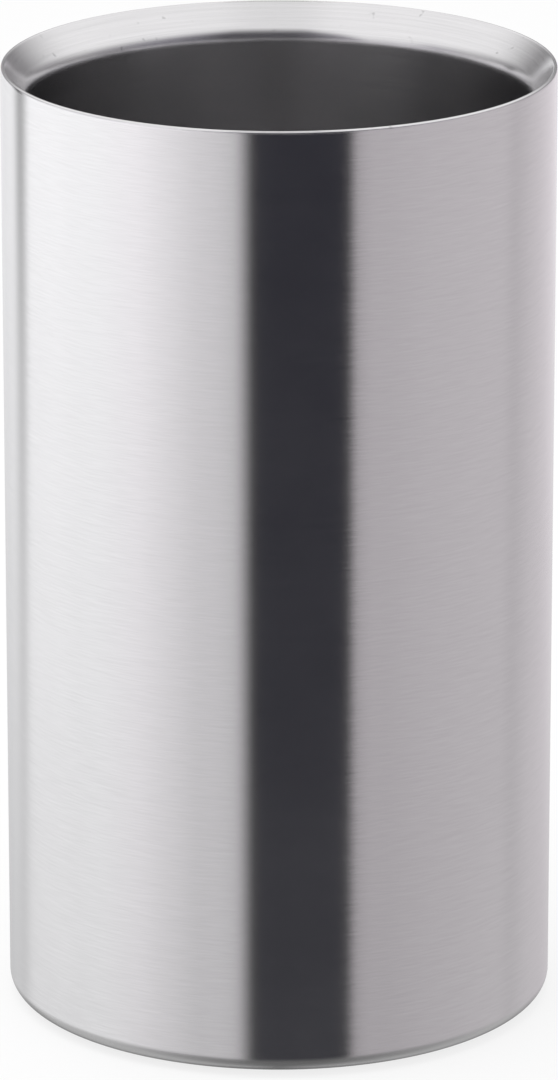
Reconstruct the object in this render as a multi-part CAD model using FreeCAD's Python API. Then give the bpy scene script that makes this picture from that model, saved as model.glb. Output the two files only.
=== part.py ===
"""Double-walled bottle cooler: a brushed steel jacket around a drawn steel cup, with an air gap between them.

Every piece is turned about the Z axis, so each one is drawn as a half section in the plane of X (radius) and Z
(height), and revolved. The origin is on the axis, in the plane that the cooler stands on. Millimetres.
"""

import FreeCAD
import Part

import math
import os

# ---- Driving sizes -------------------------------------------------------------------------------------------

# Overall
BODY_RADIUS = 57.0  # outside of the jacket
BODY_HEIGHT = 200.0  # from the table to the crest of the rim

# Sheet that the jacket and the liner are drawn from
SHEET_GAUGE = 0.5

# Jacket
JACKET_CORNER_RADIUS = 3.4  # outside radius where the wall turns in at the foot
JACKET_FLANGE_WIDTH = 9.0  # from the outside of the wall to the opening in the foot
FOOT_PROUD = 0.9  # how far the foot ring holds the jacket off the table

# Liner: the cup that the bottle stands in
LIP_WIDTH = 6.0  # across the rim, from the outside of the jacket to the inside of the cup
LIP_ANGLE = 48.0  # slope of the funnel-shaped lip above the horizontal, in degrees
THROAT_RADIUS = 4.8  # rounding where the lip runs into the wall of the cup
WELL_CORNER_RADIUS = 8.0  # inside rounding where the wall runs into the floor
FLOOR_RING_WIDTH = 20.0  # flat ring between the wall and the raised panel that stiffens the floor
FLOOR_STEP_RUN = 2.5  # how far the step up to the panel slopes inwards
FLOOR_PANEL_RISE = 1.0
FLOOR_PANEL_BEND = 2.4  # rounding of the panel's step

# Base plate: a shallow pan that lies on the jacket's flange and closes the foot from inside
PLATE_GAUGE = 0.7
PLATE_SKIRT_CLEARANCE = 0.1  # between the pan's skirt and the jacket
PLATE_SKIRT_STRAIGHT = 2.5  # straight part of the skirt, above its corner
PLATE_CORNER_RELIEF = 1.3  # how much larger the pan's corner is than the inside of the jacket's
PLATE_PANEL_RISE = 0.8  # recess under the middle of the plate
PLATE_PANEL_MARGIN = 1.0  # from the opening in the jacket's foot to the panel's step
PLATE_STEP_RUN = 1.6  # how far the step up to the panel slopes inwards
PLATE_PANEL_BEND = 1.4

# Pad between the base plate and the floor of the liner
PAD_HEIGHT = 9.0
PAD_MARGIN = 11.0  # from the inside of the cup's wall to the outside of the pad
PAD_WIDTH = 30.0  # from the pad's outside to its hole
PAD_EDGE_RADIUS = 0.8

# Foot ring
FOOT_CLEARANCE = 1.5  # between the ring and the step of the base plate's panel
FOOT_RING_WIDTH = 14.0
FOOT_EDGE_RADIUS = 0.5

# ---- Places worked out from the sizes ------------------------------------------------------------------------

jacket_inside_radius = BODY_RADIUS - SHEET_GAUGE
jacket_top = BODY_HEIGHT - SHEET_GAUGE
well_radius = BODY_RADIUS - LIP_WIDTH
opening_radius = BODY_RADIUS - JACKET_FLANGE_WIDTH
flange_top = FOOT_PROUD + SHEET_GAUGE

# The liner's rounded edge is centred on the inner corner of the jacket's top edge, and lies on that edge.
rim_centre = (jacket_inside_radius, jacket_top)
lip_slope = math.radians(LIP_ANGLE)
lip_normal = (-math.sin(lip_slope), math.cos(lip_slope))
lip_top = (
    rim_centre[0] + SHEET_GAUGE * lip_normal[0],
    rim_centre[1] + SHEET_GAUGE * lip_normal[1],
)
throat_level = lip_top[1] - (lip_top[0] - well_radius) * math.tan(lip_slope)

plate_panel_bottom = flange_top + PLATE_PANEL_RISE
plate_panel_top = plate_panel_bottom + PLATE_GAUGE
plate_step_radius = opening_radius - PLATE_PANEL_MARGIN
plate_skirt_radius = jacket_inside_radius - PLATE_SKIRT_CLEARANCE
plate_corner_radius = JACKET_CORNER_RADIUS - SHEET_GAUGE + PLATE_CORNER_RELIEF
plate_skirt_top = flange_top + plate_corner_radius + PLATE_SKIRT_STRAIGHT

pad_outer_radius = well_radius - PAD_MARGIN
pad_inner_radius = pad_outer_radius - PAD_WIDTH

liner_bottom = plate_panel_top + PAD_HEIGHT
floor_level = liner_bottom + SHEET_GAUGE
floor_panel_level = floor_level + FLOOR_PANEL_RISE
floor_step_radius = well_radius - FLOOR_RING_WIDTH

foot_outer_radius = plate_step_radius - PLATE_STEP_RUN - FOOT_CLEARANCE
foot_inner_radius = foot_outer_radius - FOOT_RING_WIDTH


# ---- Drawing a half section ----------------------------------------------------------------------------------


def at(point):
    """The point (radius, height) in the plane of the half section."""
    return FreeCAD.Vector(point[0], 0, point[1])


def line(start, end):
    """A straight edge between two points (radius, height)."""
    return Part.LineSegment(at(start), at(end)).toShape()


def arc(start, middle, end):
    """A round edge through three points (radius, height)."""
    return Part.Arc(at(start), at(middle), at(end)).toShape()


def unit(start, end):
    """Direction from one point to another, one long."""
    run = math.hypot(end[0] - start[0], end[1] - start[1])
    return ((end[0] - start[0]) / run, (end[1] - start[1]) / run)


def moved(point, direction, distance):
    """The point moved by a distance along a direction."""
    return (point[0] + direction[0] * distance, point[1] + direction[1] * distance)


def rounded_corner(before, corner, after, radius):
    """Where a rounding of that radius starts, its middle and its end, each with the normal to the left there."""
    way_in = unit(before, corner)
    way_out = unit(corner, after)
    turn = math.atan2(
        way_in[0] * way_out[1] - way_in[1] * way_out[0],
        way_in[0] * way_out[0] + way_in[1] * way_out[1],
    )
    setback = radius * math.tan(abs(turn) / 2)
    start = moved(corner, way_in, -setback)
    end = moved(corner, way_out, setback)
    left_in = (-way_in[1], way_in[0])
    left_out = (-way_out[1], way_out[0])
    side = math.copysign(1.0, turn)
    centre = moved(start, left_in, side * radius)
    left_middle = unit((0, 0), (left_in[0] + left_out[0], left_in[1] + left_out[1]))
    middle = moved(centre, left_middle, -side * radius)
    return (start, left_in), (middle, left_middle), (end, left_out)


def sheet_section(path, bends, gauge):
    """Closed section of a bent sheet. One skin follows the path and its bends. The other lies gauge to its left.

    A negative gauge puts it to the right. bends holds one radius for each inner point of the path.
    """
    first = unit(path[0], path[1])
    last = unit(path[-2], path[-1])
    stations = [((path[0], (-first[1], first[0])),)]
    for i, radius in enumerate(bends, start=1):
        stations.append(rounded_corner(path[i - 1], path[i], path[i + 1], radius))
    stations.append(((path[-1], (-last[1], last[0])),))

    edges = []
    skins = []
    for distance in (0.0, gauge):
        skin = [[moved(p, normal, distance) for p, normal in station] for station in stations]
        for here, after in zip(skin, skin[1:]):
            if len(here) == 3:
                edges.append(arc(*here))
            edges.append(line(here[-1], after[0]))
        skins.append(skin)
    edges.append(line(skins[0][0][0], skins[1][0][0]))
    edges.append(line(skins[0][-1][-1], skins[1][-1][-1]))
    return Part.Face(Part.Wire(Part.__sortEdges__(edges)))


def ring_section(inner, outer, bottom, top, bottom_rounding, top_rounding):
    """Closed section of a ring, with one rounding on both bottom corners and one on both top corners."""
    corners = [
        ((inner, bottom), bottom_rounding),
        ((outer, bottom), bottom_rounding),
        ((outer, top), top_rounding),
        ((inner, top), top_rounding),
    ]
    stations = []
    for i, (corner, rounding) in enumerate(corners):
        before = corners[i - 1][0]
        after = corners[(i + 1) % len(corners)][0]
        if rounding:
            stations.append([p for p, _ in rounded_corner(before, corner, after, rounding)])
        else:
            stations.append([corner])
    edges = []
    for i, here in enumerate(stations):
        if len(here) == 3:
            edges.append(arc(*here))
        edges.append(line(here[-1], stations[(i + 1) % len(stations)][0]))
    return Part.Face(Part.Wire(edges))


def turned(section):
    """The solid that a half section makes about the Z axis."""
    return section.revolve(FreeCAD.Vector(0, 0, 0), FreeCAD.Vector(0, 0, 1), 360)


# ---- Pieces --------------------------------------------------------------------------------------------------


def outer_jacket():
    """Tube of brushed sheet. Its foot turns in to a flange, and the liner's edge lies on its top edge."""
    path = [
        (opening_radius, FOOT_PROUD),
        (BODY_RADIUS, FOOT_PROUD),
        (BODY_RADIUS, jacket_top),
    ]
    return turned(sheet_section(path, [JACKET_CORNER_RADIUS], SHEET_GAUGE))


def liner_edge():
    """Rounded outer edge of the lip, from the top of the lip over to the outside of the jacket."""
    jacket_edge = (BODY_RADIUS, jacket_top)
    crest_direction = unit((0, 0), (1 + lip_normal[0], lip_normal[1]))
    edges = [
        line(rim_centre, jacket_edge),
        arc(jacket_edge, moved(rim_centre, crest_direction, SHEET_GAUGE), lip_top),
        line(lip_top, rim_centre),
    ]
    return turned(Part.Face(Part.Wire(edges)))


def inner_liner():
    """Drawn cup with a raised floor panel, and a funnel-shaped lip that reaches out over the jacket."""
    path = [
        (0.0, floor_panel_level),
        (floor_step_radius - FLOOR_STEP_RUN, floor_panel_level),
        (floor_step_radius, floor_level),
        (well_radius, floor_level),
        (well_radius, throat_level),
        lip_top,
    ]
    bends = [FLOOR_PANEL_BEND, FLOOR_PANEL_BEND, WELL_CORNER_RADIUS, THROAT_RADIUS]
    cup = turned(sheet_section(path, bends, -SHEET_GAUGE))
    return cup.fuse(liner_edge()).removeSplitter().Solids[0]


def base_plate():
    """Pressed pan that lies on the jacket's flange and closes the foot, with a raised middle panel."""
    path = [
        (0.0, plate_panel_bottom),
        (plate_step_radius - PLATE_STEP_RUN, plate_panel_bottom),
        (plate_step_radius, flange_top),
        (plate_skirt_radius, flange_top),
        (plate_skirt_radius, plate_skirt_top),
    ]
    bends = [PLATE_PANEL_BEND, PLATE_PANEL_BEND, plate_corner_radius]
    return turned(sheet_section(path, bends, PLATE_GAUGE))


def support_pad():
    """Foam ring between the base plate and the liner's floor, which carries the bottle."""
    section = ring_section(
        pad_inner_radius,
        pad_outer_radius,
        plate_panel_top,
        liner_bottom,
        PAD_EDGE_RADIUS,
        PAD_EDGE_RADIUS,
    )
    return turned(section)


def foot_ring():
    """Soft ring bonded into the recess of the base plate. The cooler stands on it."""
    section = ring_section(
        foot_inner_radius,
        foot_outer_radius,
        0.0,
        plate_panel_bottom,
        FOOT_EDGE_RADIUS,
        0.0,
    )
    return turned(section)


PIECES = (
    outer_jacket,
    inner_liner,
    base_plate,
    support_pad,
    foot_ring,
)

os.makedirs("parts", exist_ok=True)
for piece in PIECES:
    solid = piece()
    solid.exportStep(f"parts/{piece.__name__}.step")
    box = solid.optimalBoundingBox(False, False)
    print(
        f"{piece.__name__}: valid {solid.isValid()}, {solid.ShapeType}, volume {solid.Volume:.1f} mm3, "
        f"Z {box.ZMin:.3f} to {box.ZMax:.3f}, X {box.XMin:.3f} to {box.XMax:.3f}"
    )
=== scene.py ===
"""Looks of a double-walled bottle cooler: finishes, fine edges, a plain studio and the camera.

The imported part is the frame. The jacket, the liner and the pad are turned again here as fine meshes with
eased edges. The base plate and the foot ring keep their solids and get their finishes. Metres throughout.
"""

from __future__ import annotations

import logging
import math
from dataclasses import dataclass
from enum import Enum
from typing import Any, Mapping, Sequence, Union

import bmesh
import bpy
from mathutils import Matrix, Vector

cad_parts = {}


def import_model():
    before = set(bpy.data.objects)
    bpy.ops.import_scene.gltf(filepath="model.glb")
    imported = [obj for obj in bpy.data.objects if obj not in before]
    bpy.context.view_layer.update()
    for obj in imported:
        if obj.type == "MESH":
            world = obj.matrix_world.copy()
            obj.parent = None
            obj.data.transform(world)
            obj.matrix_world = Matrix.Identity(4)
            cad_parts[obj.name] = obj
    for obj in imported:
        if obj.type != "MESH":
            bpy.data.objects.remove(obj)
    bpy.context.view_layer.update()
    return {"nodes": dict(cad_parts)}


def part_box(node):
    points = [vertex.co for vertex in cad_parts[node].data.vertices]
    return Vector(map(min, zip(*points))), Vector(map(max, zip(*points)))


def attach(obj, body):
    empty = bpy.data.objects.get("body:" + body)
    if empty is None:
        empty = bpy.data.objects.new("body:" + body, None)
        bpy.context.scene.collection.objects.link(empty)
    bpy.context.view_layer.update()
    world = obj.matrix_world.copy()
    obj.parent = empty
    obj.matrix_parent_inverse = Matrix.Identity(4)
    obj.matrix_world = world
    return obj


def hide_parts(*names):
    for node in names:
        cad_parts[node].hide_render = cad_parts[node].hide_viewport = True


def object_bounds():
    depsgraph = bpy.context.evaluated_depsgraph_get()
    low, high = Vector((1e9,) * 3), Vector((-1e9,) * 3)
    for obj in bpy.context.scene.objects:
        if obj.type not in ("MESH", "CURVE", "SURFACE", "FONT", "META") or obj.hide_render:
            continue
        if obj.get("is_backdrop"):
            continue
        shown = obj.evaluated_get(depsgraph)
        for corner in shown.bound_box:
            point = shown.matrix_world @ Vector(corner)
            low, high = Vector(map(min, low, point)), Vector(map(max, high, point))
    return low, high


LOG = logging.getLogger("bottle_cooler")

Point = tuple[float, float]
Colour = tuple[float, float, float]

BODY = "root"
LIGHT_LEVEL = 0.85
ON_AXIS = 1e-7
FULL_TURN = 360.0
RAMP_MIDDLE = 0.5
WHITE_LIGHT = (1.0, 1.0, 1.0, 1.0)
NO_LIGHT = (0.0, 0.0, 0.0, 1.0)

# Sockets of the Mix node that carry colours
MIX_FIRST = 6
MIX_SECOND = 7
MIX_RESULT = 2


# ---- Half sections and turned meshes -----------------------------------------------------------------------


def direction(start: Point, end: Point) -> Point:
    """Direction from one point to another, one long.

    Args:
        start: Radius and height of the first point.
        end: Radius and height of the second point.

    Returns:
        The direction as a share of radius and of height.
    """
    run = math.hypot(end[0] - start[0], end[1] - start[1])
    return ((end[0] - start[0]) / run, (end[1] - start[1]) / run)


def shifted(point: Point, along: Point, distance: float) -> Point:
    """A point moved along a direction.

    Args:
        point: Radius and height.
        along: Direction, one long.
        distance: How far to move, in metres.

    Returns:
        The new radius and height.
    """
    return (point[0] + along[0] * distance, point[1] + along[1] * distance)


@dataclass(frozen=True)
class Corner:
    """A corner of a half section, with the radius that eases it."""

    radius: float
    height: float
    rounding: float = 0.0

    @property
    def point(self) -> Point:
        """Radius and height of the sharp corner."""
        return (self.radius, self.height)


@dataclass(frozen=True)
class SectionPen:
    """Draws half sections as closed loops of points, dense enough for clean reflections."""

    arc_step: float = math.radians(5.0)
    fewest_steps: int = 4
    longest_run: float = 0.008
    end_loop: float = 0.00025
    loops_to_fit: float = 4.0

    def rounded(self, before: Point, corner: Corner, after: Point) -> list[tuple[Point, Point]]:
        """Points round one corner, each with its normal to the left.

        Args:
            before: The point before the corner.
            corner: The corner and its rounding.
            after: The point after the corner.

        Returns:
            Pairs of a point and a normal. A sharp corner gives one point for each of its two sides.
        """
        way_in = direction(before, corner.point)
        way_out = direction(corner.point, after)
        turn = math.atan2(
            way_in[0] * way_out[1] - way_in[1] * way_out[0],
            way_in[0] * way_out[0] + way_in[1] * way_out[1],
        )
        left_in = (-way_in[1], way_in[0])
        if corner.rounding <= 0.0:
            return [(corner.point, left_in), (corner.point, (-way_out[1], way_out[0]))]
        side = math.copysign(1.0, turn)
        start = shifted(corner.point, way_in, -corner.rounding * math.tan(abs(turn) / 2.0))
        centre = shifted(start, left_in, side * corner.rounding)
        steps = max(self.fewest_steps, math.ceil(abs(turn) / self.arc_step))
        pairs = []
        for i in range(steps + 1):
            angle = turn * i / steps
            normal = (
                left_in[0] * math.cos(angle) - left_in[1] * math.sin(angle),
                left_in[0] * math.sin(angle) + left_in[1] * math.cos(angle),
            )
            pairs.append((shifted(centre, normal, -side * corner.rounding), normal))
        return pairs

    def run(self, start: Point, end: Point) -> list[Point]:
        """Points between two points, with a loop close to each end so that shading stays flat.

        Args:
            start: Where the straight run starts.
            end: Where it ends.

        Returns:
            The points in between, without the two ends.
        """
        length = math.hypot(end[0] - start[0], end[1] - start[1])
        if length < self.loops_to_fit * self.end_loop:
            return []
        along = direction(start, end)
        inner = length - 2.0 * self.end_loop
        steps = max(1, math.ceil(inner / self.longest_run))
        return [shifted(start, along, self.end_loop + inner * i / steps) for i in range(steps + 1)]

    def joined(self, chain: Sequence[Point], closed: bool) -> list[Point]:
        """The chain with its straight runs filled in.

        Args:
            chain: Points in order.
            closed: Whether the last point joins the first.

        Returns:
            The dense chain, without doubled points.
        """
        ends = list(chain) + ([chain[0]] if closed else [])
        dense: list[Point] = [ends[0]]
        for start, end in zip(ends, ends[1:]):
            if math.hypot(end[0] - start[0], end[1] - start[1]) < ON_AXIS:
                continue
            dense.extend(self.run(start, end))
            dense.append(end)
        return dense[:-1] if closed else dense

    def sheet(self, path: Sequence[Corner], gauge: float, tail: Sequence[Point] = ()) -> list[Point]:
        """Closed section of a bent sheet. One skin follows the path, the other lies gauge to its left.

        Args:
            path: The corners of the skin that is drawn.
            gauge: Thickness, negative for a second skin to the right.
            tail: Points that shape the last edge, between the end of the drawn skin and that of the other.

        Returns:
            The closed loop.
        """
        near: list[Point] = []
        far: list[Point] = []
        for i, corner in enumerate(path):
            if 0 < i < len(path) - 1:
                pairs = self.rounded(path[i - 1].point, corner, path[i + 1].point)
            else:
                ahead = path[i : i + 2] if i == 0 else path[i - 1 : i + 1]
                along = direction(ahead[0].point, ahead[1].point)
                pairs = [(corner.point, (-along[1], along[0]))]
            near.extend(point for point, _ in pairs)
            far.extend(shifted(point, normal, gauge) for point, normal in pairs)
        return self.joined([*near, *tail, *reversed(far)], closed=True)


@dataclass(frozen=True)
class Lathe:
    """Turns a half section about the Z axis."""

    segments: int = 512
    crease: float = math.radians(35.0)

    def turn(self, name: str, loop: Sequence[Point]) -> bpy.types.Object:
        """Makes the turned mesh as a new object in the scene.

        Args:
            name: Name of the object and of its mesh.
            loop: Closed section as radius and height.

        Returns:
            The new object, smooth but for its real creases.
        """
        shape = bmesh.new()
        rings: list[list[bmesh.types.BMVert]] = []
        for radius, height in loop:
            if radius < ON_AXIS:
                rings.append([shape.verts.new((0.0, 0.0, height))])
                continue
            turn = 2.0 * math.pi / self.segments
            rings.append(
                [
                    shape.verts.new((radius * math.cos(turn * i), radius * math.sin(turn * i), height))
                    for i in range(self.segments)
                ]
            )
        for low, high in zip(rings, rings[1:] + rings[:1]):
            self.skin(shape, low, high)
        bmesh.ops.recalc_face_normals(shape, faces=shape.faces)
        mesh = bpy.data.meshes.new(name)
        shape.to_mesh(mesh)
        shape.free()
        mesh.shade_smooth()
        mesh.set_sharp_from_angle(angle=self.crease)
        piece = bpy.data.objects.new(name, mesh)
        bpy.context.scene.collection.objects.link(piece)
        return piece

    def skin(
        self,
        shape: bmesh.types.BMesh,
        low: Sequence[bmesh.types.BMVert],
        high: Sequence[bmesh.types.BMVert],
    ) -> None:
        """Faces between two rings of a turned mesh, either of which may be one point on the axis.

        Args:
            shape: The mesh that is being made.
            low: Vertices of the first ring.
            high: Vertices of the second ring.
        """
        if len(low) == 1 and len(high) == 1:
            return
        for i in range(self.segments):
            j = (i + 1) % self.segments
            if len(low) == 1:
                shape.faces.new((low[0], high[j], high[i]))
            elif len(high) == 1:
                shape.faces.new((low[i], low[j], high[0]))
            else:
                shape.faces.new((low[i], low[j], high[j], high[i]))


# ---- Shader graphs -----------------------------------------------------------------------------------------


class Value:
    """A socket that gives one number. Arithmetic on it adds Math nodes to its graph."""

    def __init__(self, graph: Graph, socket: bpy.types.NodeSocket) -> None:
        """Wraps a socket.

        Args:
            graph: The graph that the socket belongs to.
            socket: The output socket.
        """
        self.graph = graph
        self.socket = socket

    def combine(self, operation: str, first: Operand, second: Operand) -> Value:
        """The result of one Math node.

        Args:
            operation: The Math node's operation.
            first: Its first value.
            second: Its second value.

        Returns:
            The result.
        """
        return self.graph.node("ShaderNodeMath", {"operation": operation}, {0: first, 1: second})

    def __add__(self, other: Operand) -> Value:
        """This value plus another."""
        return self.combine("ADD", self, other)

    def __radd__(self, other: Operand) -> Value:
        """Another value plus this one."""
        return self.combine("ADD", other, self)

    def __sub__(self, other: Operand) -> Value:
        """This value less another."""
        return self.combine("SUBTRACT", self, other)

    def __rsub__(self, other: Operand) -> Value:
        """Another value less this one."""
        return self.combine("SUBTRACT", other, self)

    def __mul__(self, other: Operand) -> Value:
        """This value times another."""
        return self.combine("MULTIPLY", self, other)

    def __rmul__(self, other: Operand) -> Value:
        """Another value times this one."""
        return self.combine("MULTIPLY", other, self)

    def __truediv__(self, other: Operand) -> Value:
        """This value over another."""
        return self.combine("DIVIDE", self, other)

    def __rtruediv__(self, other: Operand) -> Value:
        """Another value over this one."""
        return self.combine("DIVIDE", other, self)

    def __neg__(self) -> Value:
        """This value with its sign turned."""
        return self.combine("MULTIPLY", self, -1.0)

    def __abs__(self) -> Value:
        """This value without its sign."""
        return self.combine("ABSOLUTE", self, 0.0)

    def larger(self, other: Operand) -> Value:
        """The larger of this value and another."""
        return self.combine("MAXIMUM", self, other)


Operand = Union[Value, float]


@dataclass(frozen=True)
class Noise:
    """How a noise looks: its cells per metre, its octaves and how strong the finer ones are."""

    scale: float
    detail: float
    roughness: float


class Graph:
    """Adds nodes to a node tree."""

    def __init__(self, tree: bpy.types.NodeTree) -> None:
        """Empties a tree and keeps it.

        Args:
            tree: The node tree of a material or of the world.
        """
        tree.nodes.clear()
        self.tree = tree

    def node(
        self,
        kind: str,
        settings: Mapping[str, Any],
        inputs: Mapping[Union[str, int], Any],
        output: Union[str, int] = 0,
    ) -> Value:
        """Adds one node.

        Args:
            kind: The node's type.
            settings: Its properties, set first. "stops" holds a ramp's positions and colours.
            inputs: Values or links for its sockets, by name or place.
            output: Which of its outputs to give back.

        Returns:
            The output.
        """
        made = self.tree.nodes.new(kind)
        for key, setting in settings.items():
            if key == "stops":
                self.set_stops(made.color_ramp, setting)
            else:
                setattr(made, key, setting)
        for key, value in inputs.items():
            if isinstance(value, Value):
                self.tree.links.new(value.socket, made.inputs[key])
            else:
                made.inputs[key].default_value = value
        if not made.outputs:
            return Value(self, made.inputs[0])
        return Value(self, made.outputs[output])

    @staticmethod
    def set_stops(ramp: bpy.types.ColorRamp, stops: Sequence[tuple[float, Colour]]) -> None:
        """Sets the stops of a ramp.

        Args:
            ramp: The ramp.
            stops: Pairs of a position from 0 to 1 and a colour.
        """
        while len(ramp.elements) > 1:
            ramp.elements.remove(ramp.elements[-1])
        ramp.elements[0].position = stops[0][0]
        for position, _ in stops[1:]:
            ramp.elements.new(position)
        for element, (_, colour) in zip(ramp.elements, stops):
            element.color = (*colour, 1.0)

    def axes(self, vector: Value) -> tuple[Value, Value, Value]:
        """The three parts of a vector.

        Args:
            vector: The vector to split.

        Returns:
            X, Y and Z.
        """
        x = self.node("ShaderNodeSeparateXYZ", {}, {0: vector}, "X")
        parts = x.socket.node.outputs
        return x, Value(self, parts["Y"]), Value(self, parts["Z"])

    def eased(self, value: Value, low: Operand, high: Operand) -> Value:
        """A soft step.

        Args:
            value: What is tested.
            low: Where the step starts.
            high: Where it ends, which may lie below low.

        Returns:
            0 before the step and 1 after it.
        """
        return self.node(
            "ShaderNodeMapRange",
            {"interpolation_type": "SMOOTHSTEP"},
            {"Value": value, "From Min": low, "From Max": high, "To Min": 0.0, "To Max": 1.0},
        )

    def mixed(self, factor: Operand, first: Any, second: Any, blend: str = "MIX") -> Value:
        """A mix of two colours.

        Args:
            factor: How much of the second.
            first: A colour or a link.
            second: A colour or a link.
            blend: How the second goes over the first.

        Returns:
            The mixed colour.
        """
        return self.node(
            "ShaderNodeMix",
            {"data_type": "RGBA", "blend_type": blend},
            {"Factor": factor, MIX_FIRST: first, MIX_SECOND: second},
            MIX_RESULT,
        )

    def background_rays(self) -> Value:
        """Which rays show a background as it is: those of the camera, of mirrors and of clear things.

        Returns:
            1 for such a ray and 0 for any other.
        """
        paths = self.node("ShaderNodeLightPath", {}, {}, "Is Camera Ray")
        kinds = paths.socket.node.outputs
        mirrored = Value(self, kinds["Is Glossy Ray"])
        return paths.larger(mirrored).larger(Value(self, kinds["Is Transmission Ray"]))

    def noise(self, vector: Value, look: Noise) -> Value:
        """Noise between about 0.3 and 0.7.

        Args:
            vector: Where it is read.
            look: Its size and its octaves.

        Returns:
            The noise.
        """
        return self.node(
            "ShaderNodeTexNoise",
            {"noise_dimensions": "3D"},
            {"Vector": vector, "Scale": look.scale, "Detail": look.detail, "Roughness": look.roughness},
            "Fac",
        )


def rgba(colour: Colour, level: float = 1.0) -> tuple[float, float, float, float]:
    """A colour as a socket takes it.

    Args:
        colour: Red, green and blue.
        level: Brightness that they are multiplied by.

    Returns:
        Red, green, blue and full alpha.
    """
    return (colour[0] * level, colour[1] * level, colour[2] * level, 1.0)


# ---- Finishes ----------------------------------------------------------------------------------------------


NOISE_MIDDLE = 0.5
QUARTER_TURN = 0.25
LINE_NOISE = Noise(1.0, 2.0, 0.6)
CLOUD_NOISE = Noise(32.0, 3.0, 0.5)
SPOT_NOISE = Noise(520.0, 1.0, 0.4)
SPOT_EDGE = (0.70, 0.78)
GROUP_NOISE = Noise(44.0, 1.0, 0.5)
GROUP_EDGE = (0.46, 0.56)
WEAR_NOISE = Noise(90.0, 4.0, 0.6)
WEAR_EDGE = (0.3, 0.7)


class BrushLength(Enum):
    """How far one brush line runs round the piece before it fades, as noise cells per metre."""

    LONG = 60.0
    SHORT = 170.0


@dataclass(frozen=True)
class BrushedSteel:
    """Stainless steel with fine brush lines round the axis.

    The lines follow the section: their place is radius plus height, which grows along every wall, cone and
    floor.
    """

    name: str
    tint: Colour
    roughness: float
    brush: BrushLength
    stretch: float = 0.95
    line_contrast: float = 0.10
    broad_share: float = 0.18
    roughness_swing: float = 0.04
    line_depth: float = 0.000006
    tilt: float = 0.0065
    cloud: float = 0.03
    specks: float = 0.0
    lines_per_metre: float = 5200.0
    broad_cells: float = 0.3
    broad_lines: float = 0.22

    def material(self) -> bpy.types.Material:
        """Makes the material.

        Returns:
            The new material.
        """
        made = bpy.data.materials.new(self.name)
        made.use_nodes = True
        graph = Graph(made.node_tree)
        place = graph.node("ShaderNodeTexCoord", {}, {}, "Object")
        x, y, z = graph.axes(place)
        flat = graph.node("ShaderNodeCombineXYZ", {}, {0: x, 1: y, 2: 0.0})
        radius = graph.node("ShaderNodeVectorMath", {"operation": "LENGTH"}, {0: flat}, "Value")
        along = radius + z
        cells = self.brush.value
        fine = self.lines(graph, x, y, along, cells, self.lines_per_metre) - NOISE_MIDDLE
        broad = (
            self.lines(graph, x, y, along, cells * self.broad_cells, self.lines_per_metre * self.broad_lines)
            - NOISE_MIDDLE
        )
        cloud = graph.noise(place, CLOUD_NOISE) - NOISE_MIDDLE
        grain = fine * (1.0 - self.broad_share) + broad * self.broad_share
        level = 1.0 + grain * (2.0 * self.line_contrast) + cloud * (2.0 * self.cloud)
        if self.specks > 0.0:
            level = level * (1.0 - self.speck_mask(graph, place) * self.specks)
        shade = graph.node("ShaderNodeCombineColor", {}, {0: level, 1: level, 2: level})
        colour = graph.mixed(1.0, rgba(self.tint), shade, "MULTIPLY")
        rough = self.roughness + grain * self.roughness_swing + cloud * self.roughness_swing
        bump = graph.node(
            "ShaderNodeBump",
            {},
            {
                "Strength": 1.0,
                "Distance": self.line_depth,
                "Height": fine,
                "Normal": self.tilted_normal(graph, fine * (2.0 * self.tilt)),
            },
        )
        steel = graph.node(
            "ShaderNodeBsdfPrincipled",
            {},
            {
                "Base Color": colour,
                "Metallic": 1.0,
                "Roughness": rough,
                "Anisotropic": self.stretch,
                "Anisotropic Rotation": QUARTER_TURN,
                "Normal": bump,
            },
        )
        graph.node("ShaderNodeOutputMaterial", {}, {"Surface": steel})
        return made

    def lines(self, graph: Graph, x: Value, y: Value, along: Value, cells: float, across: float) -> Value:
        """One set of brush lines.

        Args:
            graph: The graph to add to.
            x: First part of the place.
            y: Second part of the place.
            along: Place on the section.
            cells: Noise cells per metre round the piece.
            across: Lines per metre of the section.

        Returns:
            The lines, about 0.5 on average.
        """
        stretched = graph.node("ShaderNodeCombineXYZ", {}, {0: x * cells, 1: y * cells, 2: along * across})
        return graph.noise(stretched, LINE_NOISE)

    def speck_mask(self, graph: Graph, place: Value) -> Value:
        """Small sparse marks from handling.

        Args:
            graph: The graph to add to.
            place: Where it is read.

        Returns:
            1 in a mark and 0 elsewhere.
        """
        spots = graph.eased(graph.noise(place, SPOT_NOISE), *SPOT_EDGE)
        return spots * graph.eased(graph.noise(place, GROUP_NOISE), *GROUP_EDGE)

    def tilted_normal(self, graph: Graph, tilt: Value) -> Value:
        """The surface's normal, leaning a little round the piece.

        Args:
            graph: The graph to add to.
            tilt: How far it leans.

        Returns:
            The normal.
        """
        normal = graph.node("ShaderNodeNewGeometry", {}, {}, "Normal")
        round_the_axis = graph.node(
            "ShaderNodeVectorMath", {"operation": "CROSS_PRODUCT"}, {0: (0.0, 0.0, 1.0), 1: normal}
        )
        lean = graph.node("ShaderNodeVectorMath", {"operation": "SCALE"}, {0: round_the_axis, "Scale": tilt})
        leaning = graph.node("ShaderNodeVectorMath", {"operation": "ADD"}, {0: normal, 1: lean})
        return graph.node("ShaderNodeVectorMath", {"operation": "NORMALIZE"}, {0: leaning})


class Grain(Enum):
    """Which small cells a plain finish shows."""

    ROUND_CELLS = "F1"
    FLAT_FACETS = "SMOOTH_F1"


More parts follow.
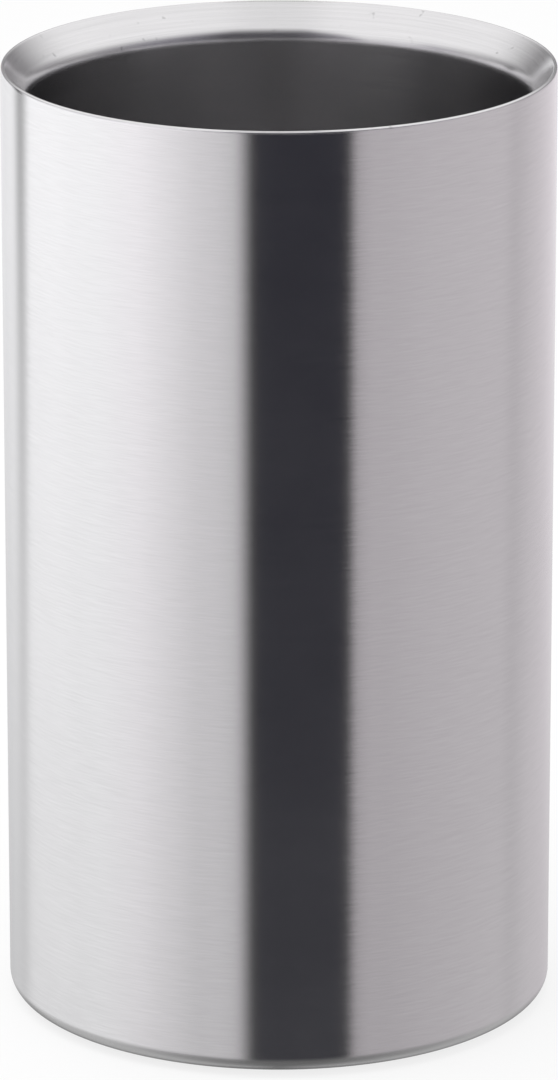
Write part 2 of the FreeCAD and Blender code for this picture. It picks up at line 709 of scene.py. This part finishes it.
@dataclass(frozen=True)
class PlainFinish:
    """Rubber, foam or plain sheet: one colour with a small grain and slight wear."""

    name: str
    colour: Colour
    roughness: float
    grain: Grain
    cells_per_metre: float
    depth: float
    metallic: float = 0.0
    variation: float = 0.12
    roughness_swing: float = 0.2

    def material(self) -> bpy.types.Material:
        """Makes the material.

        Returns:
            The new material.
        """
        made = bpy.data.materials.new(self.name)
        made.use_nodes = True
        graph = Graph(made.node_tree)
        place = graph.node("ShaderNodeTexCoord", {}, {}, "Object")
        cells = graph.node(
            "ShaderNodeTexVoronoi",
            {"feature": self.grain.value},
            {"Vector": place, "Scale": self.cells_per_metre},
            "Distance",
        )
        wear = graph.noise(place, WEAR_NOISE)
        worn = rgba(self.colour, 1.0 - self.variation)
        fresh = rgba(self.colour, 1.0 + self.variation)
        colour = graph.mixed(graph.eased(wear, *WEAR_EDGE), worn, fresh)
        bump = graph.node("ShaderNodeBump", {}, {"Strength": 1.0, "Distance": self.depth, "Height": cells})
        surface = graph.node(
            "ShaderNodeBsdfPrincipled",
            {},
            {
                "Base Color": colour,
                "Metallic": self.metallic,
                "Roughness": self.roughness + (wear - NOISE_MIDDLE) * self.roughness_swing,
                "Normal": bump,
            },
        )
        graph.node("ShaderNodeOutputMaterial", {}, {"Surface": surface})
        return made


Finish = Union[BrushedSteel, PlainFinish]

JACKET_FINISH = BrushedSteel("jacket_brushed_steel", (0.812, 0.808, 0.812), 0.20, BrushLength.SHORT)
LINER_FINISH = BrushedSteel(
    "liner_brushed_steel",
    (0.790, 0.780, 0.792),
    0.172,
    BrushLength.LONG,
    line_contrast=0.16,
    broad_share=0.40,
    tilt=0.003,
    specks=0.22,
)
PLATE_FINISH = BrushedSteel(
    "base_plain_sheet",
    (0.70, 0.695, 0.705),
    0.38,
    BrushLength.LONG,
    stretch=0.3,
    line_contrast=0.04,
    specks=0.2,
)
PAD_FINISH = PlainFinish("closed_cell_foam", (0.80, 0.80, 0.77), 0.9, Grain.ROUND_CELLS, 1400.0, 0.0002)
RUBBER_FINISH = PlainFinish("matt_rubber", (0.035, 0.035, 0.038), 0.78, Grain.FLAT_FACETS, 2600.0, 0.00004)


# ---- Pieces ------------------------------------------------------------------------------------------------


def dress(piece: bpy.types.Object, finish: bpy.types.Material) -> None:
    """Gives a piece one finish all over.

    Args:
        piece: The object.
        finish: The material.
    """
    slots = piece.material_slots
    if not slots:
        piece.data.materials.append(finish)
    for slot in slots:
        slot.material = finish


def seated(piece: bpy.types.Object, node: str, finish: Finish) -> None:
    """Puts a turned piece in its node's place.

    Args:
        piece: The new object.
        node: The node that it stands for.
        finish: The finish it gets.
    """
    dress(piece, finish.material())
    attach(piece, BODY)
    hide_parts(node)
    LOG.info("%s: %d faces, finish %s", piece.name, len(piece.data.polygons), finish.name)


@dataclass(frozen=True)
class Jacket:
    """Outer wall: a tube of sheet whose foot turns in to a flange."""

    gauge: float = 0.0005
    foot_rounding: float = 0.0034
    flange_width: float = 0.009
    edge_easing: float = 0.00005
    edge_steps: int = 4

    def build(self) -> bpy.types.Object:
        """Turns the jacket and puts it in its node's place.

        Returns:
            The jacket.
        """
        low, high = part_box("outer_jacket")
        outside = high.x
        top = high.z - self.edge_easing
        path = [
            Corner(outside - self.flange_width, low.z),
            Corner(outside, low.z, self.foot_rounding),
            Corner(outside, top),
        ]
        loop = SectionPen().sheet(path, self.gauge, self.eased_top(outside, top))
        piece = Lathe().turn("jacket_wall", loop)
        seated(piece, "outer_jacket", JACKET_FINISH)
        return piece

    def eased_top(self, outside: float, top: float) -> list[Point]:
        """Easing of the top edge's outer corner, under the liner's edge.

        Args:
            outside: Radius of the outer skin.
            top: Height where the easing starts.

        Returns:
            Points from the outer skin to the inner one.
        """
        points = []
        for i in range(1, self.edge_steps + 1):
            angle = math.pi / 2.0 * i / self.edge_steps
            points.append(
                (
                    outside - self.edge_easing * (1.0 - math.cos(angle)),
                    top + self.edge_easing * math.sin(angle),
                )
            )
        points.append((outside - self.gauge, top + self.edge_easing))
        return points


@dataclass(frozen=True)
class Liner:
    """The cup, with its raised floor panel, funnel-shaped lip and rounded edge."""

    gauge: float = 0.0005
    lip_width: float = 0.006
    lip_angle: float = math.radians(48.0)
    throat_rounding: float = 0.0048
    foot_rounding: float = 0.008
    floor_ring: float = 0.020
    step_run: float = 0.0025
    panel_rise: float = 0.001
    panel_bend: float = 0.0024
    seam_depth: float = 0.00001
    edge_steps: int = 14

    def build(self) -> bpy.types.Object:
        """Turns the liner and puts it in its node's place.

        Returns:
            The liner.
        """
        low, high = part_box("inner_liner")
        outside = high.x
        wall = outside - self.lip_width
        floor = low.z + self.gauge
        panel = floor + self.panel_rise
        step = wall - self.floor_ring
        edge_centre = (outside - self.gauge, high.z - self.gauge)
        lip_top = shifted(edge_centre, self.lip_normal(), self.gauge)
        throat = lip_top[1] - (lip_top[0] - wall) * math.tan(self.lip_angle)
        path = [
            Corner(0.0, panel),
            Corner(step - self.step_run, panel, self.panel_bend),
            Corner(step, floor, self.panel_bend),
            Corner(wall, floor, self.foot_rounding),
            Corner(wall, throat, self.throat_rounding),
            Corner(lip_top[0], lip_top[1]),
        ]
        loop = SectionPen().sheet(path, -self.gauge, self.rounded_edge(edge_centre))
        piece = Lathe().turn("liner_cup", loop)
        seated(piece, "inner_liner", LINER_FINISH)
        return piece

    def lip_normal(self) -> Point:
        """Direction square to the lip, up and inwards."""
        return (-math.sin(self.lip_angle), math.cos(self.lip_angle))

    def rounded_edge(self, centre: Point) -> list[Point]:
        """The lip's edge, from its top skin over the crest and down to the seam on the jacket.

        Args:
            centre: Centre of the rounding.

        Returns:
            Points from the top skin to the seam, and along the jacket's edge to the lip's underside.
        """
        start = math.pi / 2.0 + self.lip_angle
        points = []
        for i in range(1, self.edge_steps + 1):
            angle = start * (1.0 - i / self.edge_steps)
            points.append(
                (
                    centre[0] + self.gauge * math.cos(angle),
                    centre[1] + self.gauge * math.sin(angle),
                )
            )
        points[-1] = (points[-1][0] - self.seam_depth, points[-1][1])
        return points


@dataclass(frozen=True)
class SupportPad:
    """Foam ring between the base plate and the cup: flat where they press it, and round at its sides."""

    width: float = 0.030
    side_rounding: float = 0.0036
    room: float = 0.00005
    fullness: float = 1.0
    segments: int = 128

    def build(self) -> bpy.types.Object:
        """Turns the pad and puts it in its node's place.

        Returns:
            The pad.
        """
        low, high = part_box("support_pad")
        outside = high.x
        inside = outside - self.width
        bottom = low.z + self.room
        top = high.z - self.room
        corners = [Corner(inside, bottom), Corner(outside, bottom), Corner(outside, top), Corner(inside, top)]
        pen = SectionPen()
        chain: list[Point] = []
        for i, corner in enumerate(corners):
            rounded = Corner(corner.radius, corner.height, self.side_rounding)
            pairs = pen.rounded(corners[i - 1].point, rounded, corners[(i + 1) % len(corners)].point)
            chain.extend(point for point, _ in pairs)
        piece = Lathe(segments=self.segments).turn("foam_ring", pen.joined(chain, closed=True))
        seated(piece, "support_pad", PAD_FINISH)
        return piece


@dataclass(frozen=True)
class Underside:
    """What closes and carries the cooler: the base plate and the foot ring."""

    def finish(self, nodes: Mapping[str, bpy.types.Object]) -> None:
        """Gives the two solids their finishes.

        Args:
            nodes: The part's objects by node name.
        """
        finishes: dict[str, Finish] = {
            "base_plate": PLATE_FINISH,
            "foot_ring": RUBBER_FINISH,
        }
        for node, finish in finishes.items():
            dress(nodes[node], finish.material())
            LOG.info("%s: finish %s", node, finish.name)


# ---- Studio ------------------------------------------------------------------------------------------------


Profile = tuple[tuple[float, float], ...]


class Card(Enum):
    """What stands round the cooler at a bearing, with the tint of its light."""

    WHITE = (1.0, 1.0, 1.015)
    SHADED = (1.0, 0.975, 1.005)
    GREY = (1.0, 0.940, 0.985)
    DARK = (1.0, 0.970, 2.000)
    DUSK = (1.01, 0.975, 1.120)

    def lit(self, level: float) -> Colour:
        """The card's colour at a level of light."""
        return (self.value[0] * level, self.value[1] * level, self.value[2] * level)


Cards = tuple[tuple[float, float, Card], ...]


def grey(level: float) -> Colour:
    """A colour without a tint."""
    return (level, level, level)


def build_world(level: float) -> None:
    """Makes the world: white where it is seen or mirrored, and a plain soft light for all else.

    Args:
        level: Strength of the plain light.
    """
    world = bpy.data.worlds.new("studio")
    bpy.context.scene.world = world
    world.use_nodes = True
    graph = Graph(world.node_tree)
    colour = graph.mixed(graph.background_rays(), rgba(grey(level)), WHITE_LIGHT)
    light = graph.node("ShaderNodeBackground", {}, {"Color": colour, "Strength": 1.0})
    graph.node("ShaderNodeOutputWorld", {}, {"Surface": light})


@dataclass(frozen=True)
class Surround:
    """Glowing cards that the steel mirrors: white to the left, grey to the right, and a dark gap in front.
    Their tones are painted reflections, and their darker tones are painted shade.

    They are one shell about the cooler. A ring high up in it is open to the white of the world. Each profile
    gives a value at bearings in degrees from the front, positive to the right. Heights are sines of the angle
    above or below the horizon.
    """

    reach: float = 6.0
    columns: int = 96
    rows: int = 64
    opening: float = 0.84
    cap: float = 0.976
    cap_level: float = 0.35
    walls: Cards = (
        (-180.0, 0.93, Card.WHITE),
        (-158.0, 0.95, Card.WHITE),
        (-148.0, 1.07, Card.WHITE),
        (-128.0, 1.23, Card.WHITE),
        (-105.0, 1.32, Card.WHITE),
        (-81.0, 1.31, Card.WHITE),
        (-60.0, 1.26, Card.SHADED),
        (-42.0, 1.05, Card.SHADED),
        (-25.0, 0.84, Card.SHADED),
        (-17.5, 0.71, Card.SHADED),
        (-11.0, 0.020, Card.SHADED),
        (-8.0, 0.009, Card.DARK),
        (26.0, 0.009, Card.DARK),
        (28.8, 0.020, Card.SHADED),
        (32.0, 0.51, Card.GREY),
        (38.5, 0.60, Card.GREY),
        (64.0, 0.63, Card.GREY),
        (94.0, 0.63, Card.GREY),
        (107.0, 0.62, Card.GREY),
        (113.5, 0.55, Card.GREY),
        (122.0, 0.60, Card.GREY),
        (142.0, 0.73, Card.GREY),
        (158.0, 0.84, Card.GREY),
        (180.0, 0.93, Card.WHITE),
    )
    wall_top: Profile = (
        (-180.0, 0.04),
        (-130.0, 0.10),
        (-105.0, 0.07),
        (-22.0, 0.07),
        (-8.0, 0.0),
        (180.0, 0.0),
    )
    wall_top_fade: float = 0.12
    skirt: Profile = (
        (-180.0, 0.16),
        (-140.0, 0.14),
        (-95.0, 0.14),
        (-35.0, 0.18),
        (-14.0, 0.30),
        (28.0, 0.30),
        (45.0, 0.23),
        (130.0, 0.20),
        (180.0, 0.16),
    )
    skirt_fade: float = 0.40
    # Ground: the floor's tones as the steel mirrors them, painted on the shell's lower part, darker behind
    # the cooler and in front as painted shade
    ground: Profile = (
        (-180.0, 0.18),
        (-150.0, 0.32),
        (-130.0, 0.50),
        (-105.0, 0.48),
        (-81.0, 0.45),
        (-56.0, 0.31),
        (-33.0, 0.22),
        (-12.0, 0.16),
        (24.0, 0.16),
        (45.0, 0.21),
        (76.0, 0.31),
        (106.0, 0.43),
        (131.0, 0.50),
        (150.0, 0.34),
        (180.0, 0.18),
    )
    room: Cards = (
        (-180.0, 0.23, Card.SHADED),
        (-140.0, 0.15, Card.SHADED),
        (-100.0, 0.32, Card.SHADED),
        (-81.0, 0.27, Card.DUSK),
        (-58.0, 0.36, Card.DUSK),
        (-38.0, 0.24, Card.DUSK),
        (-20.0, 0.14, Card.DUSK),
        (-8.0, 0.07, Card.DUSK),
        (26.0, 0.07, Card.DUSK),
        (38.0, 0.15, Card.DUSK),
        (60.0, 0.22, Card.DUSK),
        (100.0, 0.28, Card.SHADED),
        (140.0, 0.25, Card.SHADED),
        (180.0, 0.23, Card.SHADED),
    )
    roof: Profile = (
        (-180.0, 0.12),
        (-105.0, 0.12),
        (-78.0, 0.12),
        (-63.0, 0.0),
        (-42.0, 0.0),
        (-30.0, 0.28),
        (-15.0, 0.50),
        (24.0, 0.50),
        (60.0, 0.30),
        (105.0, 0.14),
        (180.0, 0.14),
    )
    roof_fade: float = 0.46
    # Seam: a dark stripe of painted shade in the glowing cards at one bearing, which the jacket mirrors as a
    # thin grey line
    seam_bearing: float = -133.0
    seam_width: float = 10.0
    seam_depth: float = 0.97
    seam_foot: float = 0.32
    seam_fade: float = 0.16

    def build(self) -> None:
        """Makes the shell. The camera, plain surfaces and the lamp's light pass through it."""
        low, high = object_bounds()
        shape = bmesh.new()
        bmesh.ops.create_uvsphere(shape, u_segments=self.columns, v_segments=self.rows, radius=self.reach)
        gap = [vertex for vertex in shape.verts if self.opening < vertex.co.z / self.reach < self.cap]
        bmesh.ops.delete(shape, geom=gap, context="VERTS")
        mesh = bpy.data.meshes.new("surround")
        shape.to_mesh(mesh)
        shape.free()
        shell = bpy.data.objects.new("surround", mesh)
        shell.location.z = (low.z + high.z) / 2.0
        bpy.context.scene.collection.objects.link(shell)
        shell.visible_camera = False
        shell.visible_diffuse = False
        shell.visible_shadow = False
        dress(shell, self.material())
        shell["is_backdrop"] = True
        LOG.info("surround: %d wall tones", len(self.walls))

    def material(self) -> bpy.types.Material:
        """The glowing tones of the cards, which are painted reflections, by the bearing and the height of
        each place on the shell.

        Returns:
            The new material.
        """
        made = bpy.data.materials.new("surround_painted_reflections")
        made.use_nodes = True
        graph = Graph(made.node_tree)
        place = graph.node("ShaderNodeTexCoord", {}, {}, "Object")
        x, y, z = graph.axes(graph.node("ShaderNodeVectorMath", {"operation": "NORMALIZE"}, {0: place}))
        degrees = graph.node("ShaderNodeMath", {"operation": "ARCTAN2"}, {0: x, 1: -y}) * math.degrees(1.0)
        walls = self.cards(graph, degrees, self.walls)
        # Painted shade: a dark stripe at the seam's bearing, fading out below the seam's foot
        seam = graph.eased(abs(degrees - self.seam_bearing), self.seam_width, 0.0)
        seam = seam * graph.eased(-z, self.seam_foot, self.seam_foot - self.seam_fade)
        walls = graph.mixed(seam * self.seam_depth, walls, NO_LIGHT)
        skirt = self.levels(graph, degrees, self.skirt)
        # The mirrored floor with its painted shade, in place of the real floor, which mirrored rays don't see
        ground = self.levels(graph, degrees, self.ground)
        lower = graph.mixed(graph.eased(-z, skirt, skirt + self.skirt_fade), walls, ground)
        wall_top = self.levels(graph, degrees, self.wall_top)
        room = graph.eased(z, wall_top, wall_top + self.wall_top_fade)
        middle = graph.mixed(room, lower, self.cards(graph, degrees, self.room))
        roof = self.levels(graph, degrees, self.roof)
        upper = graph.mixed(graph.eased(z, roof, roof + self.roof_fade), middle, WHITE_LIGHT)
        tones = graph.mixed(graph.eased(z, self.opening, self.cap), upper, rgba(grey(self.cap_level)))
        # The shell glows with these tones though it is no lamp: painted reflections and painted shade for
        # mirrored rays only
        light = graph.node("ShaderNodeEmission", {}, {"Color": tones, "Strength": 1.0})
        graph.node("ShaderNodeOutputMaterial", {}, {"Surface": light})
        return made

    def cards(self, graph: Graph, degrees: Value, cards: Cards) -> Value:
        """The colour of a row of cards at a bearing.

        Args:
            graph: The graph to add to.
            degrees: The bearing.
            cards: The cards, each with its bearing and its level of light.

        Returns:
            The colour.
        """
        return self.by_bearing(graph, degrees, [(at, card.lit(level)) for at, level, card in cards])

    def levels(self, graph: Graph, degrees: Value, profile: Profile) -> Value:
        """A profile's value at a bearing.

        Args:
            graph: The graph to add to.
            degrees: The bearing.
            profile: The profile.

        Returns:
            The value.
        """
        return self.by_bearing(graph, degrees, [(at, grey(level)) for at, level in profile])

    def by_bearing(self, graph: Graph, degrees: Value, stops: Sequence[tuple[float, Colour]]) -> Value:
        """A colour at a bearing.

        Args:
            graph: The graph to add to.
            degrees: The bearing.
            stops: Pairs of a bearing and a colour.

        Returns:
            The colour.
        """
        places = [(at / FULL_TURN + RAMP_MIDDLE, colour) for at, colour in stops]
        return graph.node("ShaderNodeValToRGB", {"stops": places}, {0: degrees / FULL_TURN + RAMP_MIDDLE})


@dataclass(frozen=True)
class Floor:
    """A plain pale floor, which the walls of the cooler don't mirror."""

    half_width: float = 3.0
    colour: Colour = (0.95, 0.95, 0.955)
    whiteness: float = 0.78
    cells: int = 8

    def build(self) -> None:
        """Makes the floor at the height that the cooler stands on."""
        low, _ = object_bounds()
        shape = bmesh.new()
        bmesh.ops.create_grid(shape, x_segments=self.cells, y_segments=self.cells, size=self.half_width)
        mesh = bpy.data.meshes.new("floor")
        shape.to_mesh(mesh)
        shape.free()
        floor = bpy.data.objects.new("floor", mesh)
        floor.location.z = low.z
        bpy.context.scene.collection.objects.link(floor)
        floor.visible_glossy = False
        dress(floor, self.material())
        floor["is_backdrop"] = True
        LOG.info("floor: %.1f m wide", 2.0 * self.half_width)

    def material(self) -> bpy.types.Material:
        """Pale and matt from above, partly as white as the world where it is seen, and clear from below.

        Returns:
            The new material.
        """
        made = bpy.data.materials.new("pale_floor")
        made.use_nodes = True
        graph = Graph(made.node_tree)
        matt = graph.node("ShaderNodeBsdfDiffuse", {}, {"Color": rgba(self.colour), "Roughness": 0.0})
        white = graph.node("ShaderNodeEmission", {}, {"Color": WHITE_LIGHT, "Strength": 1.0})
        share = graph.background_rays() * self.whiteness
        pale = graph.node("ShaderNodeMixShader", {}, {0: share, 1: matt, 2: white})
        clear = graph.node("ShaderNodeBsdfTransparent", {}, {})
        under = graph.node("ShaderNodeNewGeometry", {}, {}, "Backfacing")
        both = graph.node("ShaderNodeMixShader", {}, {0: under, 1: pale, 2: clear})
        graph.node("ShaderNodeOutputMaterial", {}, {"Surface": both})
        return made


@dataclass(frozen=True)
class SoftLamp:
    """A large soft lamp above the cooler."""

    place: tuple[float, float, float] = (-0.35, -0.25, 1.6)
    lean: tuple[float, float, float] = (math.radians(-9.0), math.radians(-12.0), 0.0)
    width: float = 1.5
    watts: float = 9.0

    def build(self) -> None:
        """Makes the lamp. Neither the camera nor the steel sees it: the cards hold the steel's tones."""
        data = bpy.data.lights.new("soft_lamp", "AREA")
        data.shape = "DISK"
        data.size = self.width
        data.energy = self.watts
        lamp = bpy.data.objects.new("soft_lamp", data)
        lamp.location = self.place
        lamp.rotation_euler = self.lean
        lamp.visible_camera = False
        lamp.visible_glossy = False
        bpy.context.scene.collection.objects.link(lamp)
        LOG.info("lamp: %.0f W", self.watts)


@dataclass(frozen=True)
class StudioCamera:
    """A long lens above the rim, level with nothing and looking slightly down."""

    lens_mm: float = 248.2
    sensor_mm: float = 36.0
    nearest: float = 0.05
    farthest: float = 50.0
    away: float = 1.482
    above_rim: float = 0.3604
    down: float = math.radians(17.33)

    def build(self) -> None:
        """Makes the camera and gives it to the scene."""
        _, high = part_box("inner_liner")
        data = bpy.data.cameras.new("camera")
        data.lens = self.lens_mm
        data.sensor_width = self.sensor_mm
        data.clip_start = self.nearest
        data.clip_end = self.farthest
        camera = bpy.data.objects.new("camera", data)
        camera.location = (0.0, -self.away, high.z + self.above_rim)
        camera.rotation_euler = (math.pi / 2.0 - self.down, 0.0, 0.0)
        bpy.context.scene.collection.objects.link(camera)
        bpy.context.scene.camera = camera
        LOG.info("camera: %.1f mm lens, %.2f m away", self.lens_mm, self.away)


def main() -> None:
    """Loads the part, dresses its pieces and sets the studio."""
    logging.basicConfig(level=logging.INFO, format="%(name)s: %(message)s")
    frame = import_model()
    Jacket().build()
    Liner().build()
    SupportPad().build()
    Underside().finish(frame["nodes"])
    build_world(LIGHT_LEVEL)
    Surround().build()
    Floor().build()
    SoftLamp().build()
    StudioCamera().build()
    bpy.context.scene.view_settings.view_transform = "Standard"


if __name__ == "__main__":
    main()
